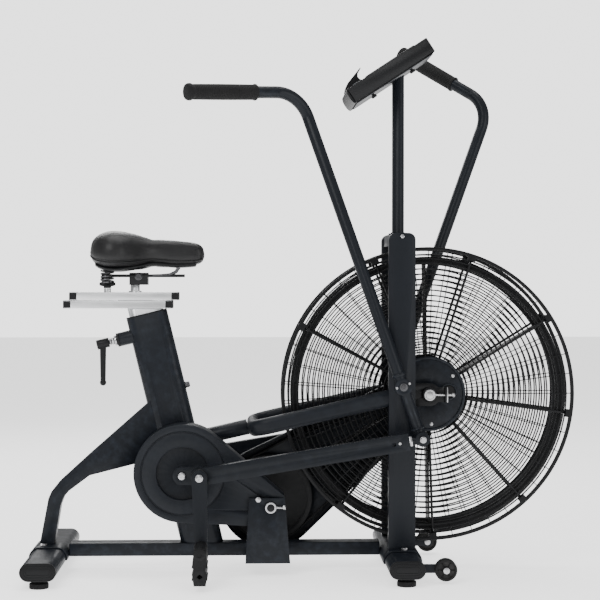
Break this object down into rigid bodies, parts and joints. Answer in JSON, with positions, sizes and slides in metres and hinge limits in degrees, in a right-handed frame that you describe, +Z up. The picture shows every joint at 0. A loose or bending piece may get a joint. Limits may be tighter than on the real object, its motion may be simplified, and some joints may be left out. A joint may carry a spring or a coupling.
{
  "type": "air bike",
  "caption": "Stationary air bike: pedals and swinging handlebars drive a large caged fan; adjustable saddle on a leaning mast.",
  "frame": {"origin": "on the floor, under the middle of the bounding box", "axes": "+X forward to the fan, +Y to the rider's left, +Z up"},
  "size_m": [1.25, 0.586, 1.2511],
  "materials": {
    "frame_paint": "satin powder coat, near black",
    "black_plastic": "moulded, fine grain",
    "black_rubber": "matt",
    "wheel_tread": "ribbed",
    "bolt_steel": "zinc plated",
    "slide_aluminium": "brushed and clear anodised",
    "console_plate_steel": "satin",
    "cage_paint": "gloss black wire",
    "fan_paint": "satin black",
    "cover_paint": "fine texture, charcoal",
    "saddle_leather": "smooth black, soft sheen",
    "screen_glass": "dark gloss",
    "button_rubber": "matt grey"
  },
  "bodies": {
    "frame": {"base_tube": "frame_paint", "rear_stabilizer": "frame_paint", "front_stabilizer": "frame_paint", "stabilizer_caps": "black_plastic", "leveling_feet": "black_rubber", "frame_brackets": "frame_paint", "rear_strut": "frame_paint", "seat_mast": "frame_paint", "mast_sleeve": "black_plastic", "bottom_bracket": "frame_paint", "crank_bearings": "bolt_steel", "top_tube": "frame_paint", "top_fork_right": "frame_paint", "top_fork_left": "frame_paint", "upright_right": "frame_paint", "upright_left": "frame_paint", "upright_bridge": "frame_paint", "console_mast": "frame_paint", "idler_bracket_right": "frame_paint", "idler_bracket_left": "frame_paint", "crank_guard": "cover_paint", "fan_belt_guard": "cover_paint", "axle_brackets": "frame_paint", "fan_axle": "bolt_steel", "cage_rim": "cage_paint", "grille_right": "cage_paint", "grille_left": "cage_paint", "hub_plates": "cover_paint", "fasteners": "bolt_steel", "belts": "black_rubber", "console_housing": "black_plastic", "console_screen": "screen_glass", "console_plate": "console_plate_steel"},
    "crank": {"crank_axle": "bolt_steel", "crank_pulley": "black_plastic", "crank_right": "frame_paint", "crank_left": "frame_paint"},
    "pedal_right": {"pedal_right": "black_plastic"},
    "pedal_left": {"pedal_left": "black_plastic"},
    "idler": {"idler_pulleys": "black_plastic"},
    "fan": {"fan_hub": "fan_paint", "fan_wheel": "fan_paint"},
    "rod_right": {"push_rod_right": "frame_paint"},
    "rod_left": {"push_rod_left": "frame_paint"},
    "bar_right": {"handlebar_right": "frame_paint", "grip_right": "black_rubber"},
    "bar_left": {"handlebar_left": "frame_paint", "grip_left": "black_rubber"},
    "post": {"seat_post": "slide_aluminium", "slider_lower": "slide_aluminium", "slider_lower_caps": "black_plastic"},
    "carriage": {"slider_upper": "slide_aluminium", "slider_upper_caps": "black_plastic", "saddle_clamp": "black_plastic", "saddle": "saddle_leather"},
    "lock": {"lock_lever": "black_plastic"},
    "wheel_right": {"transport_wheel_right": "wheel_tread"},
    "wheel_left": {"transport_wheel_left": "wheel_tread"},
    "button_right": {"console_button_right": "button_rubber"},
    "button_left": {"console_button_left": "button_rubber"}
  },
  "joints": [
    {"name": "crank_spin", "type": "hinge", "parent": "frame", "child": "crank", "pos_m": [-0.273, 0, 0.234], "axis": [0, 1, 0], "continuous": true},
    {"name": "idler_spin", "type": "hinge", "parent": "frame", "child": "idler", "pos_m": [-0.074, 0, 0.158], "axis": [0, 1, 0], "continuous": true},
    {"name": "fan_spin", "type": "hinge", "parent": "frame", "child": "fan", "pos_m": [0.288, 0, 0.41], "axis": [0, 1, 0], "continuous": true},
    {"name": "rod_right_spin", "type": "hinge", "parent": "crank", "child": "rod_right", "pos_m": [-0.233, -0.161, 0.234], "axis": [0, 1, 0], "continuous": true},
    {"name": "rod_left_spin", "type": "hinge", "parent": "crank", "child": "rod_left", "pos_m": [-0.313, 0.161, 0.234], "axis": [0, 1, 0], "continuous": true},
    {"name": "pedal_right_spin", "type": "hinge", "parent": "crank", "child": "pedal_right", "pos_m": [-0.229, -0.24, 0.082], "axis": [0, 1, 0], "continuous": true},
    {"name": "pedal_left_spin", "type": "hinge", "parent": "crank", "child": "pedal_left", "pos_m": [-0.317, 0.24, 0.386], "axis": [0, 1, 0], "continuous": true},
    {"name": "handlebar_right_swing", "type": "hinge", "parent": "frame", "child": "bar_right", "pos_m": [0.223, -0.133, 0.4315], "axis": [0, 1, 0], "range_deg": [0, 39]},
    {"name": "handlebar_left_swing", "type": "hinge", "parent": "frame", "child": "bar_left", "pos_m": [0.223, 0.133, 0.4315], "axis": [0, 1, 0], "range_deg": [-39, 0]},
    {"name": "seat_height", "type": "slide", "parent": "frame", "child": "post", "axis": [-0.2351, 0, 0.972], "range_m": [0, 0.18]},
    {"name": "seat_fore_aft", "type": "slide", "parent": "post", "child": "carriage", "axis": [1, 0, 0], "range_m": [-0.05, 0.034]},
    {"name": "seat_lock_turn", "type": "hinge", "parent": "frame", "child": "lock", "pos_m": [-0.44685, 0, 0.52734], "axis": [0.972, 0, 0.2351], "range_deg": [-90, 90]},
    {"name": "transport_wheel_right_spin", "type": "hinge", "parent": "frame", "child": "wheel_right", "pos_m": [0.312, -0.195, 0.031], "axis": [0, 1, 0], "continuous": true},
    {"name": "transport_wheel_left_spin", "type": "hinge", "parent": "frame", "child": "wheel_left", "pos_m": [0.312, 0.195, 0.031], "axis": [0, 1, 0], "continuous": true},
    {"name": "console_button_right_press", "type": "slide", "parent": "frame", "child": "button_right", "axis": [0.5476, 0, -0.8368], "range_m": [0, 0.002], "stiffness_N_per_m": 400},
    {"name": "console_button_left_press", "type": "slide", "parent": "frame", "child": "button_left", "axis": [0.5476, 0, -0.8368], "range_m": [0, 0.002], "stiffness_N_per_m": 400}
  ],
  "couplings": [
    {"joint": "idler_spin", "follows": "crank_spin", "ratio": 2.75},
    {"joint": "fan_spin", "follows": "crank_spin", "ratio": 6.875},
    {"joint": "rod_right_spin", "follows": "crank_spin", "ratio": -1},
    {"joint": "rod_left_spin", "follows": "crank_spin", "ratio": -1},
    {"joint": "handlebar_left_swing", "follows": "handlebar_right_swing", "ratio": -1}
  ]
}
